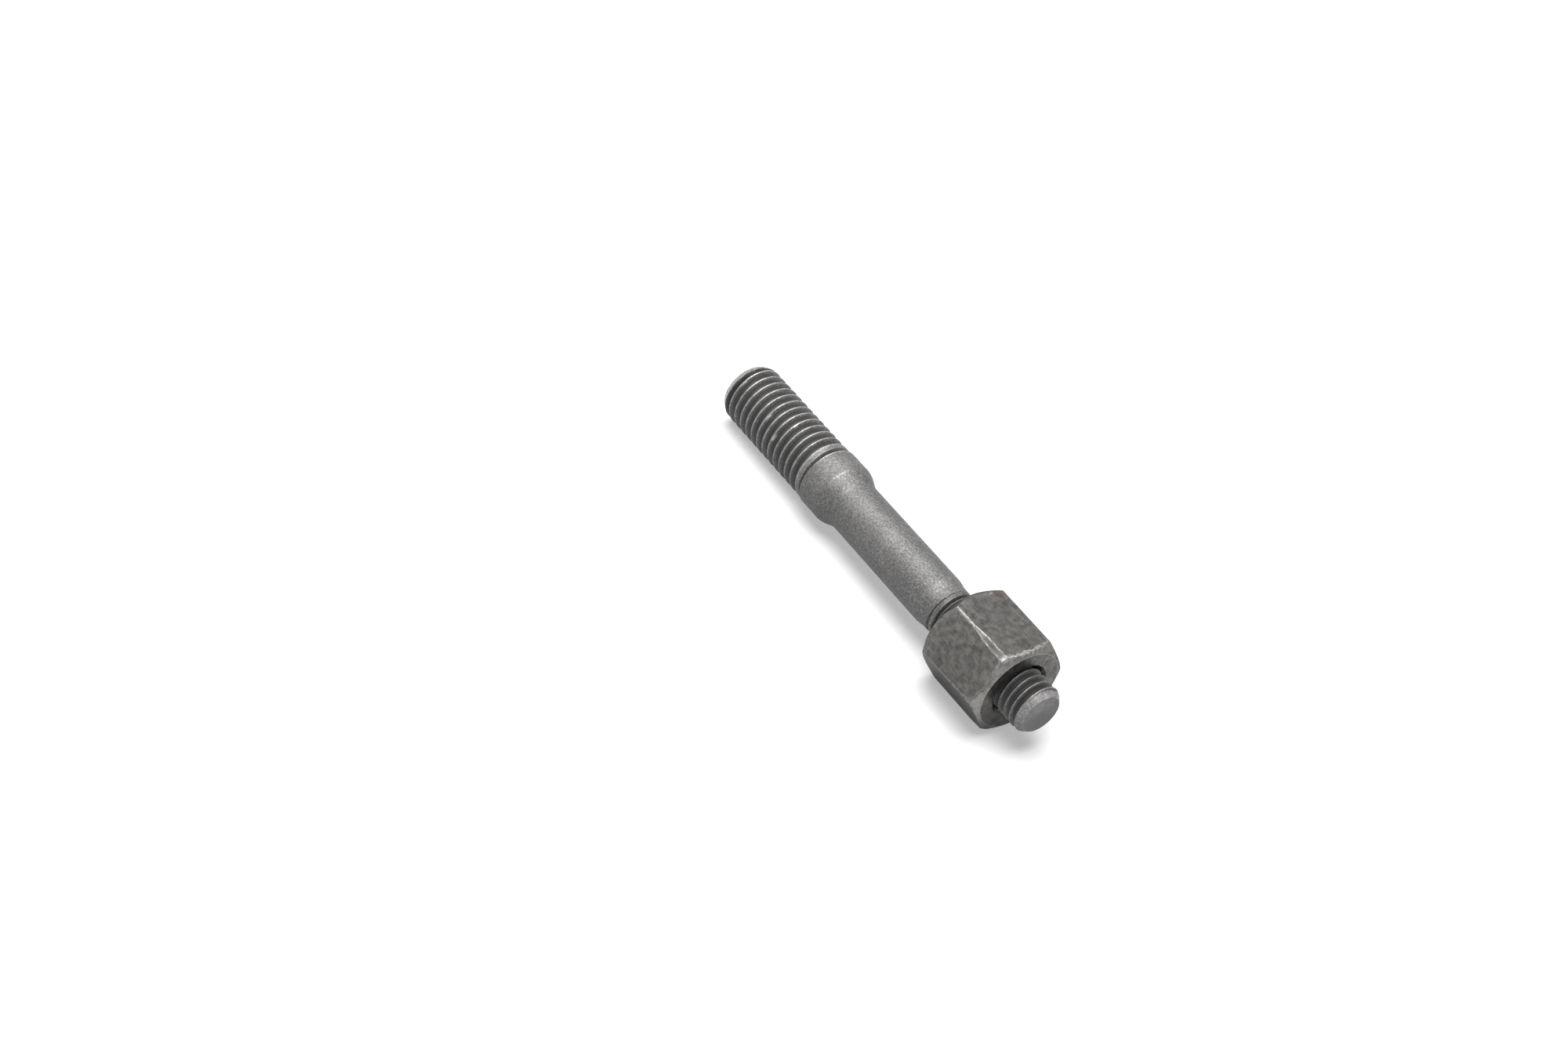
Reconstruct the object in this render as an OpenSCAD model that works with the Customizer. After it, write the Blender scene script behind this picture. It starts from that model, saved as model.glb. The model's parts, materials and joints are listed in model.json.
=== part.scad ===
// Exhaust manifold stud with a long hexagon nut, lying on the ground as it comes to rest.
// The coarse end screws into the cylinder head and the nut clamps the manifold flange.
// Millimetres. +X runs along the stud towards the nut, +Z is up, and the ground is z = 0.

/* [Head thread] */
// Crest diameter of the coarse thread that screws into the cylinder head
head_thread_d = 9.8; // [9:0.1:11]
// Diameter of the flat end face of the coarse thread
head_end_d = 8; // [6:0.1:8.6]
// Length of the chamfer that leads the coarse thread in
head_chamfer_l = 1.3; // [0.6:0.1:2]
// Length from the coarse end face to the run-out groove
head_thread_l = 20.9; // [14:0.1:30]

/* [Collar] */
// Width of the groove where the thread runs out
groove_w = 0.8; // [0.6:0.1:1.2]
// Diameter at the bottom of the run-out groove
groove_d = 9.4; // [8.8:0.1:9.6]
// Diameter of the plain collar that stops against the head
collar_d = 10.1; // [9.9:0.1:12]
// Length of the plain collar
collar_l = 3.7; // [2:0.1:8]
// Length of the rounded cone from the collar to the shank
cone_l = 3.4; // [2:0.1:6]

/* [Shank] */
// Diameter of the plain waisted shank
shank_d = 8.2; // [7.9:0.1:8.8]
// Length of the plain waisted shank
shank_l = 20.5; // [10:0.5:40]
// Length of the taper from the shank to the nut thread
taper_l = 1.5; // [0.8:0.1:3]

/* [Nut thread] */
// Crest diameter of the finer thread that carries the nut
nut_thread_d = 7.76; // [7:0.02:7.8]
// Length of the finer thread, with its chamfer
nut_thread_l = 22.5; // [20:0.1:40]
// Diameter of the flat end face of the finer thread
nut_end_d = 6.2; // [5:0.1:6.6]
// Length of the chamfer at the end of the finer thread
nut_chamfer_l = 1; // [0.5:0.1:1.5]

/* [Nut] */
// Width of the hexagon across its flats
nut_af = 14; // [13:0.1:17]
// Length of the nut
nut_l = 13; // [8:0.5:17]
// Diameter of the flat ring at each end of the nut
nut_ring_d = 13; // [11:0.1:13]
// Angle of the chamfer at each end of the nut, from its end face
nut_chamfer_a = 30; // [15:1:45]
// Radial clearance between the stud's crests and the nut's hole
nut_clearance = 0.05; // [0.02:0.01:0.1]
// Diameter of the countersink at each end of the nut's hole
nut_countersink_d = 9; // [8.4:0.1:10]
// How far the stud stands out beyond the nut
stud_proud = 4.9; // [2:0.1:6]

/* [Hidden] */
$fn = 96;

// Steps in the curve that blends the collar into the shank
blend_steps = 8;
// Overlap that lets a cut run cleanly past a face
cut = 1;

// Places along the stud, measured from the coarse end face
groove_x = head_thread_l;
collar_x = groove_x + groove_w;
cone_x = collar_x + collar_l;
shank_x = cone_x + cone_l;
taper_x = shank_x + shank_l;
nut_thread_x = taper_x + taper_l;
stud_l = nut_thread_x + nut_thread_l;
nut_x = stud_l - stud_proud - nut_l;

// The nut's hole, corners and end chamfers
nut_bore_d = nut_thread_d + 2 * nut_clearance;
nut_ac = nut_af / cos(30);
nut_sink_l = (nut_countersink_d - nut_bore_d) / 2;
nut_corner_l = (nut_ac - nut_ring_d) / 2 * tan(nut_chamfer_a);
nut_flat_l = (nut_af - nut_ring_d) / 2 * tan(nut_chamfer_a);

// At rest the stud lies on the first crest of its coarse thread and on the inner edge of one nut flat
low_end_x = head_chamfer_l;
low_nut_x = nut_x + nut_flat_l;
lie_angle = atan((nut_af - head_thread_d) / 2 / (low_nut_x - low_end_x));
lie_height = head_thread_d / 2 * cos(lie_angle) - low_end_x * sin(lie_angle);
middle_x = (stud_l * cos(lie_angle) + (nut_end_d - head_end_d) / 2 * sin(lie_angle)) / 2;

// Radius of the rounded cone at a share of its length, level where it meets the collar and the shank
function cone_r(share) = (collar_d + shank_d) / 4 + (collar_d - shank_d) / 4 * cos(180 * share);

// Half section of the stud, with the axis along Y
module stud_section() {
    polygon(concat(
        [
            [0, 0],
            [head_end_d / 2, 0],
            [head_thread_d / 2, head_chamfer_l],
            [head_thread_d / 2, groove_x],
            [groove_d / 2, groove_x + groove_w / 4],
            [groove_d / 2, groove_x + groove_w * 3 / 4],
            [collar_d / 2, collar_x]
        ],
        [for (i = [0 : blend_steps]) [cone_r(i / blend_steps), cone_x + cone_l * i / blend_steps]],
        [
            [shank_d / 2, taper_x],
            [nut_thread_d / 2, nut_thread_x],
            [nut_thread_d / 2, stud_l - nut_chamfer_l],
            [nut_end_d / 2, stud_l],
            [0, stud_l]
        ]
    ));
}

// Outside of the nut: a hexagon turned down to a ring at both ends
module nut_body() {
    intersection() {
        rotate([0, 0, 30]) cylinder(h = nut_l, d = nut_ac, $fn = 6);
        rotate_extrude() polygon([
            [0, 0],
            [nut_ring_d / 2, 0],
            [nut_ac / 2, nut_corner_l],
            [nut_ac / 2, nut_l - nut_corner_l],
            [nut_ring_d / 2, nut_l],
            [0, nut_l]
        ]);
    }
}

// Hole through the nut with a countersink at each end
module nut_hole() {
    translate([0, 0, -cut]) cylinder(h = nut_l + 2 * cut, d = nut_bore_d);
    cylinder(h = nut_sink_l, d1 = nut_countersink_d, d2 = nut_bore_d);
    translate([0, 0, nut_l - nut_sink_l]) cylinder(h = nut_sink_l, d1 = nut_bore_d, d2 = nut_countersink_d);
}

// Lays what is built upright along Z onto the ground, with its lower end towards -X
module lay_down() {
    translate([-middle_x, 0, lie_height]) rotate([0, 90 - lie_angle, 0]) children();
}

module stud() {
    color("dimgray") lay_down() rotate_extrude() stud_section();
}

module nut() {
    color("gray") lay_down() translate([0, 0, nut_x]) difference() {
        nut_body();
        nut_hole();
    }
}

stud();
nut();
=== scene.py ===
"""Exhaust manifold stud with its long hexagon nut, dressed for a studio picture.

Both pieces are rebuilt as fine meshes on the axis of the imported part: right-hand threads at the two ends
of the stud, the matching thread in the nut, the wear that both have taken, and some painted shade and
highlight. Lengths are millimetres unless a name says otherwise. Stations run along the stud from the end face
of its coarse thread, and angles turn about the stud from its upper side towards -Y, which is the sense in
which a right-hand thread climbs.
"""

from __future__ import annotations

import json
import logging
import math
from dataclasses import dataclass
from enum import Enum
from typing import Any

import bmesh
import bpy
import numpy as np
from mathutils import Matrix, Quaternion, Vector

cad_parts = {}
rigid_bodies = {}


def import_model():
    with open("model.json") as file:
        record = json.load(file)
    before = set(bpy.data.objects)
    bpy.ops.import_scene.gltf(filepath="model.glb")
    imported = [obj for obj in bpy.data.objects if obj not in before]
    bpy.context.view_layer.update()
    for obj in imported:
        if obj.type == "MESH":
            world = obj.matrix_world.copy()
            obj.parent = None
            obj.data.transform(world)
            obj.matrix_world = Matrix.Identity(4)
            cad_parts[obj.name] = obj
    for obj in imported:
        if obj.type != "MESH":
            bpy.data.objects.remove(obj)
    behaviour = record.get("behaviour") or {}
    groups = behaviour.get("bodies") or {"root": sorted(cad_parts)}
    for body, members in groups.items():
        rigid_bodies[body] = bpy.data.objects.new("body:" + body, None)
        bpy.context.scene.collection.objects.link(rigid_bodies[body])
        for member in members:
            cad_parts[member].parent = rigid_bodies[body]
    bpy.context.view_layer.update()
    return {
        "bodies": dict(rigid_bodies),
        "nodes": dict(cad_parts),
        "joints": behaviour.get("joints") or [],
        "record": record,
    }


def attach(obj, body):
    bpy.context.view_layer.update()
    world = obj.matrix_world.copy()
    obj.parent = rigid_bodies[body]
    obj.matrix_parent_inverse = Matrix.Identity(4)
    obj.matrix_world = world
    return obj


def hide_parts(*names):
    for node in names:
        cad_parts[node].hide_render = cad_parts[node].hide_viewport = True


LOG = logging.getLogger("stud_scene")

MM = 0.001
FULL_TURN = 2.0 * math.pi

Array = np.ndarray
Colour = tuple[float, float, float]
Factors = tuple[float, float, float]
Socket = bpy.types.NodeSocket


class Body(Enum):
    """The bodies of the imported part, and the nodes of the same names."""

    STUD = "stud"
    NUT = "nut"


class Slot(Enum):
    """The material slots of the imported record."""

    STUD = "stud_steel"
    NUT = "nut_steel"


class Mark(Enum):
    """The point attributes that carry shape, wear and painted shade into the finishes."""

    DEPTH = "depth"
    WEAR = "wear"
    BARE = "bare"
    EDGE = "edge"
    RIM = "rim"
    TONE = "tone"
    # Darkening from real stains together with painted shade.
    STAIN = "stain"
    RUST = "rust"


def smooth_min(first: Array, second: Array | float, blend: float) -> Array:
    """Take the smaller of two heights and round the crease between them.

    Args:
        first: Heights of one surface.
        second: Heights of the other surface.
        blend: Height over which the two run into each other.

    Returns:
        The rounded minimum.
    """
    share = np.clip(0.5 + 0.5 * (second - first) / blend, 0.0, 1.0)
    return second + (first - second) * share - blend * share * (1.0 - share)


def smooth_max(first: Array, second: Array | float, blend: float) -> Array:
    """Take the larger of two heights and round the crease between them."""
    return -smooth_min(-first, -second, blend)


def smooth_step(value: Array, low: float, high: float) -> Array:
    """Rise from 0 at low to 1 at high along an S curve."""
    share = np.clip((value - low) / (high - low), 0.0, 1.0)
    return share * share * (3.0 - 2.0 * share)


def facing(angles: Array, middle_deg: float, power: float = 1.0) -> Array:
    """Give 1 at one angle about the stud, 0 opposite it, and a smooth fall between."""
    return (0.5 + 0.5 * np.cos(angles - math.radians(middle_deg))) ** power


def turn_between(angles: Array, middle_deg: float) -> Array:
    """Give the turn from an angle about the stud to each point, in radians from minus to plus half a turn."""
    return (angles - math.radians(middle_deg) + math.pi) % FULL_TURN - math.pi


def crowd(count: int, share: float) -> Array:
    """Lay steps from -1 to just under 1, closer together about 0.

    Args:
        count: Number of steps.
        share: How far they are drawn together, from 0 to 1.

    Returns:
        The steps in rising order.
    """
    steps = np.arange(count) / count * 2.0 - 1.0
    return (1.0 - share) * steps + share * steps**3


@dataclass(frozen=True)
class OneSided:
    """An amount that is greatest on one side of a piece.

    Attributes:
        least: Amount opposite that side.
        more: What that side has in addition.
        middle_deg: Where that side is about the axis.
        power: How narrow it is.
    """

    least: float
    more: float
    middle_deg: float
    power: float = 1.0

    def at(self, angles: Array) -> Array:
        """Give the amount at each angle."""
        return self.least + self.more * facing(angles, self.middle_deg, self.power)


def points_of(piece: bpy.types.Object) -> Array:
    """Read the points of an object's mesh.

    Args:
        piece: The object.

    Returns:
        Points in metres, one row each.
    """
    points = np.zeros(len(piece.data.vertices) * 3)
    piece.data.vertices.foreach_get("co", points)
    return points.reshape(-1, 3)


def set_mark(piece: bpy.types.Object, mark: Mark, values: Array) -> None:
    """Store one number for each point of a piece, for its finish to read."""
    layer = piece.data.attributes.new(mark.value, "FLOAT", "POINT")
    layer.data.foreach_set("value", values.astype(np.float32))


@dataclass(frozen=True)
class StudAxis:
    """The stud's axis in the frame, with the coarse end face at its zero.

    Attributes:
        origin: Centre of the coarse end face, in metres.
        along: Direction towards the nut.
        upper: Direction of angle zero, square to the axis.
        side: Direction of a quarter turn.
    """

    origin: Array
    along: Array
    upper: Array
    side: Array

    @classmethod
    def from_frame(cls, frame: dict[str, Any]) -> StudAxis:
        """Read the axis from the nut's slide and the stud's own mesh.


        Returns:
            The axis, with its zero at the lowest station of the stud.
        """
        along = np.array(frame["joints"][0]["axis"], float)
        along /= np.linalg.norm(along)
        side = np.array([0.0, -1.0, 0.0])
        upper = np.cross(side, along)
        centre = np.array(frame["record"]["mounts"][0]["pos_m"], float)
        lowest = ((points_of(frame["nodes"][Body.STUD.value]) - centre) @ along).min()
        return cls(centre + lowest * along, along, upper, side)

    def place(self, stations: Array, angles: Array, radii: Array) -> Array:
        """Turn stations, angles and radii into points of the frame.

        Args:
            stations: Millimetres along the axis.
            angles: Radians about the axis.
            radii: Millimetres from the axis.

        Returns:
            Points in metres, one row each.
        """
        across = np.cos(angles)[..., None] * self.upper + np.sin(angles)[..., None] * self.side
        return self.origin + MM * (stations[..., None] * self.along + radii[..., None] * across)

    def measure(self, points: Array) -> tuple[Array, Array, Array]:
        """Turn points of the frame back into stations, angles and radii.

        Args:
            points: Points in metres, one row each.

        Returns:
            Stations in millimetres, angles in radians and radii in millimetres.
        """
        offsets = (points - self.origin) / MM
        upper, side = offsets @ self.upper, offsets @ self.side
        return offsets @ self.along, np.arctan2(side, upper), np.hypot(upper, side)

    def span(self, node: bpy.types.Object) -> tuple[float, float]:
        """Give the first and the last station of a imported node."""
        stations = self.measure(points_of(node))[0]
        return float(stations.min()), float(stations.max())


@dataclass(frozen=True)
class Thread:
    """A right-hand thread rolled round the stud's axis.

    Attributes:
        pitch: Distance from one crest to the next.
        crest_radius: Radius over the crests.
        depth: Depth of the groove between two crests.
        crest_station: Station of one crest at angle zero.
        rows_per_pitch: Rows of faces from one crest to the next.
        land_share: Half width of a crest's land, as a share of the pitch.
        root_blend: Height over which the flanks round into the root.
    """

    pitch: float
    crest_radius: float
    depth: float
    crest_station: float
    rows_per_pitch: int = 20
    land_share: float = 0.06
    root_blend: float = 0.35

    FLANK_SLOPE = math.tan(math.radians(60.0))
    LAND_BLEND = 0.07
    CREST_CROWDING = 0.45

    @property
    def land(self) -> float:
        """Half width of a crest's land."""
        return self.land_share * self.pitch

    def crest_at(self, turn: int, angles: Array) -> Array:
        """Give the station of the middle of one crest at each angle."""
        return self.crest_station + self.pitch * (turn + angles / FULL_TURN)

    def offset(self, stations: Array, angles: Array) -> Array:
        """Give the distance along the axis from each point to the middle of the nearest crest."""
        turned = (stations - self.crest_station) / self.pitch - angles / FULL_TURN
        return np.abs(turned - np.round(turned)) * self.pitch

    def groove(self, inside: Array) -> Array:
        """Give the depth of a groove at a distance along the axis inside its border."""
        flank = smooth_max(inside * self.FLANK_SLOPE, 0.0, self.LAND_BLEND)
        return smooth_min(flank, self.depth, self.root_blend)

    def drop(self, stations: Array, angles: Array) -> Array:
        """Give how far the thread's surface lies below its crests.

        Args:
            stations: Millimetres along the axis.
            angles: Radians about the axis.

        Returns:
            Millimetres below the crest radius.
        """
        return self.groove(self.offset(stations, angles) - self.land)

    def rows(self, low: float, high: float) -> Array:
        """Lay rows at angle zero that follow the crests, closer together near a crest.

        Args:
            low: First station of the stretch.
            high: Last station of the stretch.

        Returns:
            Stations in rising order, from two pitches below the stretch to one above it.
        """
        first = math.floor((low - self.crest_station) / self.pitch) - 2
        last = math.ceil((high - self.crest_station) / self.pitch) + 1
        crowded = crowd(self.rows_per_pitch, self.CREST_CROWDING)
        turns = np.arange(first, last + 1)[:, None] + 0.5 * crowded[None, :]
        return self.crest_station + self.pitch * turns.ravel()

    def stations(self, low: float, high: float, angles: Array) -> Array:
        """Shear the rows along the helix and hold them to the stretch.

        Args:
            low: First station of the stretch.
            high: Last station of the stretch.
            angles: One angle for each column, from 0 to a full turn.

        Returns:
            A grid of stations, one row for each row of the thread.
        """
        sheared = self.rows(low, high)[:, None] + self.pitch * angles[None, :] / FULL_TURN
        return np.clip(sheared, low, high)


HEAD_THREAD = Thread(pitch=1.5, crest_radius=4.9, depth=0.92, crest_station=0.455)
NUT_THREAD = Thread(
    pitch=1.25, crest_radius=3.88, depth=0.74, crest_station=0.94, rows_per_pitch=16, root_blend=0.30
)


@dataclass(frozen=True)
class RunOut:
    """The end of a thread, where the last crest widens and the last groove closes against a wall.

    Attributes:
        thread: The thread that ends.
        turn: Number of its last crest.
        side: 1 where the thread ends towards the nut, -1 where it ends towards the coarse end.
        wide_land: Width of the last crest beyond its middle once it has run out.
        inner_land: Width of the last crest before its middle once it has run out.
        early_wall: Station of the wall beyond the last groove while the crest is still regular.
        wall: Station of that wall once the crest has run out.
    """

    thread: Thread
    turn: int
    side: int
    wide_land: float
    inner_land: float
    early_wall: float
    wall: float

    WIDENING_DEG = (-180.0, -60.0)

    def beyond(self, stations: Array, angles: Array) -> Array:
        """Give how far each point lies beyond the middle of the last crest."""
        return self.side * (stations - self.thread.crest_at(self.turn, turn_between(angles, 0.0)))

    def drop(self, stations: Array, angles: Array) -> Array:
        """Give how far the thread's surface lies below its crests, with the last groove closed.

        Args:
            stations: Millimetres along the axis.
            angles: Radians about the axis.

        Returns:
            Millimetres below the crest radius.
        """
        run_out = smooth_step(self.side * turn_between(angles, 0.0), *np.radians(self.WIDENING_DEG))
        narrow = self.thread.land
        land = narrow + (self.wide_land - narrow) * run_out
        inner = narrow + (self.inner_land - narrow) * run_out
        wall = self.early_wall + (self.wall - self.early_wall) * run_out
        beyond = self.beyond(stations, angles)
        last = self.thread.groove(np.minimum(beyond - land, self.side * (wall - stations)))
        before = self.thread.groove(np.minimum(-beyond - inner, self.thread.pitch + beyond - narrow))
        threaded = np.where(beyond < -self.thread.pitch, self.thread.drop(stations, angles), before)
        return np.where(beyond > 0.0, last, threaded)


HEAD_RUN_OUT = RunOut(
    HEAD_THREAD, turn=13, side=1, wide_land=0.85, inner_land=HEAD_THREAD.land, early_wall=20.61, wall=21.65
)
NUT_RUN_OUT = RunOut(
    NUT_THREAD, turn=41, side=-1, wide_land=0.08, inner_land=0.60, early_wall=51.64, wall=52.0
)


@dataclass(frozen=True)
class Dent:
    """A spot where a blow has spread a crest of the coarse thread.

    Attributes:
        turn: Which crest it is on, counted from the coarse end.
        angle_deg: Where it is about the stud.
        reach: Half length along the crest.
        spread: Half width across the crest.
        flatten: How far the crest is pressed down.
    """

    turn: int
    angle_deg: float
    reach: float = 0.45
    spread: float = 0.26
    flatten: float = 0.05

    FORCE = 1.7
    LEAN = 0.45

    def share(self, stations: Array, angles: Array) -> Array:
        """Give how far each point belongs to the dent.

        Args:
            stations: Millimetres along the axis.
            angles: Radians about the axis.

        Returns:
            Shares from 0 to 1.
        """
        middle = HEAD_THREAD.crest_at(self.turn, math.radians(self.angle_deg))
        across = (stations - middle - self.LEAN * self.spread) / self.spread
        round_it = turn_between(angles, self.angle_deg) * HEAD_THREAD.crest_radius / self.reach
        return np.minimum(self.FORCE * np.exp(-(across**2) - round_it**2), 1.0)


@dataclass(frozen=True)
class Patch:
    """A spot on the outside of a piece.

    Attributes:
        along: Its middle, from the piece's low end.
        angle_deg: Where it is about the axis.
        reach: Half length along the axis.
        spread: Half width across it.
        amount: How strong it is in its middle.
    """

    along: float
    angle_deg: float
    reach: float
    spread: float
    amount: float

    def share(self, along: Array, angles: Array, radii: Array) -> Array:
        """Give how strong the spot is at each point.

        Args:
            along: Millimetres from the piece's low end.
            angles: Radians about the axis.
            radii: Millimetres from the axis.

        Returns:
            Strengths from 0 to the spot's amount.
        """
        lengthwise = (along - self.along) / self.reach
        across = turn_between(angles, self.angle_deg) * radii / self.spread
        return self.amount * np.exp(-(lengthwise**2) - across**2)


def patched(patches: tuple[Patch, ...], along: Array, angles: Array, radii: Array) -> Array:
    """Give how strong a set of spots is at each point, from 0 to 1."""
    return np.minimum(sum(patch.share(along, angles, radii) for patch in patches), 1.0)


class Skin:
    """One closed skin about the axis, gathered strip by strip along its section.

    A strip is a grid of stations and radii with one column for each angle. The strips run from the low end of
    the section over its outside to the high end, and back through a hole if there is one, so that all faces
    look outwards.
    """

    WELD_M = 2e-7

    def __init__(self, angles: Array) -> None:
        """Start an empty skin with these column angles."""
        self.angles = angles
        self._stations: list[Array] = []
        self._radii: list[Array] = []
        self._faces: list[Array] = []
        self._count = 0

    def add(self, stations: Array, radii: Array, shift: int = 0) -> None:
        """Add a strip of faces.

        Args:
            stations: Grid of stations, rows by columns.
            radii: Grid of radii of the same shape.
            shift: Rows that a helical strip climbs in one turn, where its last column meets its first.
        """
        rows, columns = stations.shape
        index = np.arange(rows * columns).reshape(rows, columns) + self._count
        inner = [index[:-1, :-1], index[:-1, 1:], index[1:, 1:], index[1:, :-1]]
        self._faces.append(np.stack(inner, axis=-1).reshape(-1, 4))
        row = np.arange(rows - 1)
        row = row[(row + shift >= 0) & (row + shift + 1 < rows)]
        seam = [index[row, -1], index[row + shift, 0], index[row + shift + 1, 0], index[row + 1, -1]]
        self._faces.append(np.stack(seam, axis=-1))
        self._stations.append(stations.ravel())
        self._radii.append(radii.ravel())
        self._count += rows * columns

    def build(self, name: str, axis: StudAxis, sharp_deg: float) -> bpy.types.Object:
        """Weld the strips into one mesh object.

        Args:
            name: Name of the piece.
            axis: Axis that the skin lies round.
            sharp_deg: Angle between two faces from which their edge is drawn sharp.

        Returns:
            The object, linked to the scene and shaded smooth.
        """
        stations = np.concatenate(self._stations)
        angles = np.tile(self.angles, len(stations) // len(self.angles))
        points = axis.place(stations, angles, np.concatenate(self._radii))
        mesh = bpy.data.meshes.new(name)
        mesh.from_pydata(points.tolist(), [], np.concatenate(self._faces).tolist())
        work = bmesh.new()
        work.from_mesh(mesh)
        bmesh.ops.remove_doubles(work, verts=work.verts, dist=self.WELD_M)
        bmesh.ops.dissolve_degenerate(work, edges=work.edges, dist=self.WELD_M)
        work.to_mesh(mesh)
        work.free()
        mesh.shade_smooth()
        mesh.set_sharp_from_angle(angle=math.radians(sharp_deg))
        piece = bpy.data.objects.new(name, mesh)
        bpy.context.scene.collection.objects.link(piece)
        return piece


@dataclass(frozen=True)
class Band:
    """A stretch of a value's range, and what its two ends become.

    Attributes:
        low: Value that gives to_low.
        high: Value that gives to_high.
        to_low: Result at low and beyond it.
        to_high: Result at high and beyond it.
    """

    low: float
    high: float
    to_low: float = 0.0
    to_high: float = 1.0


class NodePen:
    """Draws the nodes of a material or of the world."""

    def __init__(self, owner: bpy.types.Material | bpy.types.World) -> None:
        """Start with an empty tree."""
        owner.use_nodes = True
        self.owner = owner
        self.tree = owner.node_tree
        self.tree.nodes.clear()

    def add(self, kind: str, inputs: dict[str, Any] | None = None, **settings: Any) -> bpy.types.Node:
        """Add a node.

        Args:
            kind: Blender's name for the node.
            inputs: Values or sockets for its inputs, by the input's identifier.
            settings: Properties of the node itself.

        Returns:
            The new node.
        """
        node = self.tree.nodes.new(kind)
        for key, value in settings.items():
            setattr(node, key, value)
        for key, value in (inputs or {}).items():
            socket = next(s for s in node.inputs if s.identifier == key)
            if isinstance(value, Socket):
                self.tree.links.new(value, socket)
            else:
                socket.default_value = value
        return node

    def place(self) -> Socket:
        """Give the place on the piece, in metres."""
        return self.add("ShaderNodeTexCoord").outputs["Object"]

    def noise(self, where: Socket, grain_mm: float, detail: float = 2.0) -> Socket:
        """Add cloudy noise with features of about that size, from 0 to 1."""
        inputs = {"Vector": where, "Scale": 1.0 / (grain_mm * MM), "Detail": detail}
        return self.add("ShaderNodeTexNoise", inputs).outputs[0]

    def drawn_out(self, where: Socket, factors: Factors) -> Socket:
        """Scale the place along X, Y and Z, so that a pattern is drawn out where the factor is small."""
        return self.add("ShaderNodeMapping", {"Vector": where, "Scale": factors}).outputs[0]

    def mark(self, mark: Mark) -> Socket:
        """Read a point attribute."""
        return self.add("ShaderNodeAttribute", attribute_name=mark.value).outputs["Fac"]

    def ramp(self, value: Socket, band: Band) -> Socket:
        """Map a value by a band, along an S curve.

        Args:
            value: What is mapped.
            band: The range that counts and what it becomes.

        Returns:
            The mapped value.
        """
        source = {"Value": value, "From Min": band.low, "From Max": band.high}
        inputs = {**source, "To Min": band.to_low, "To Max": band.to_high}
        return self.add("ShaderNodeMapRange", inputs, interpolation_type="SMOOTHSTEP").outputs[0]

    def between(self, share: Socket, first: float, second: float) -> Socket:
        """Go from one value to another as a share goes from 0 to 1."""
        return self.ramp(share, Band(0.0, 1.0, first, second))

    def math(self, operation: str, first: Any, second: Any) -> Socket:
        """Combine two values by one of Blender's math operations."""
        inputs = {"Value": first, "Value_001": second}
        return self.add("ShaderNodeMath", inputs, operation=operation).outputs[0]

    def line(self, distance: Socket, ragged: Any, solid: float, faint: float) -> Socket:
        """Draw a line where a distance passes through zero.

        Args:
            distance: Distance from the middle of the line.
            ragged: What is added to the distance to make the line uneven.
            solid: Distance up to which the line is full.
            faint: Distance at which it has faded away.

        Returns:
            1 on the line and 0 away from it.
        """
        uneven = self.math("ADD", distance, ragged)
        return self.ramp(self.math("ABSOLUTE", uneven, 0.0), Band(solid, faint, 1.0, 0.0))

    def blend(self, factor: Any, first: Any, second: Any, how: str = "MIX") -> Socket:
        """Blend two colours.

        Args:
            factor: Share of the second colour.
            first: Colour or socket at 0.
            second: Colour or socket at 1.
            how: Blender's blend type.

        Returns:
            The blended colour.
        """
        colours = [c if isinstance(c, Socket) else (*c, 1.0) for c in (first, second)]
        inputs = {"Factor_Float": factor, "A_Color": colours[0], "B_Color": colours[1]}
        node = self.add("ShaderNodeMix", inputs, data_type="RGBA", blend_type=how)
        return next(s for s in node.outputs if s.identifier == "Result_Color")

    def bump(self, height: Socket, strength: Any, deep_mm: float) -> Socket:
        """Raise the surface by a height from 0 to 1, deep_mm at most."""
        inputs = {"Height": height, "Strength": strength, "Distance": deep_mm * MM}
        return self.add("ShaderNodeBump", inputs).outputs[0]

    def finish(self, shader: Socket) -> bpy.types.Material | bpy.types.World:
        """Link the shader to the output and hand the material or the world over."""
        is_world = isinstance(self.owner, bpy.types.World)
        self.add("ShaderNodeOutputWorld" if is_world else "ShaderNodeOutputMaterial", {"Surface": shader})
        return self.owner


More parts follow.
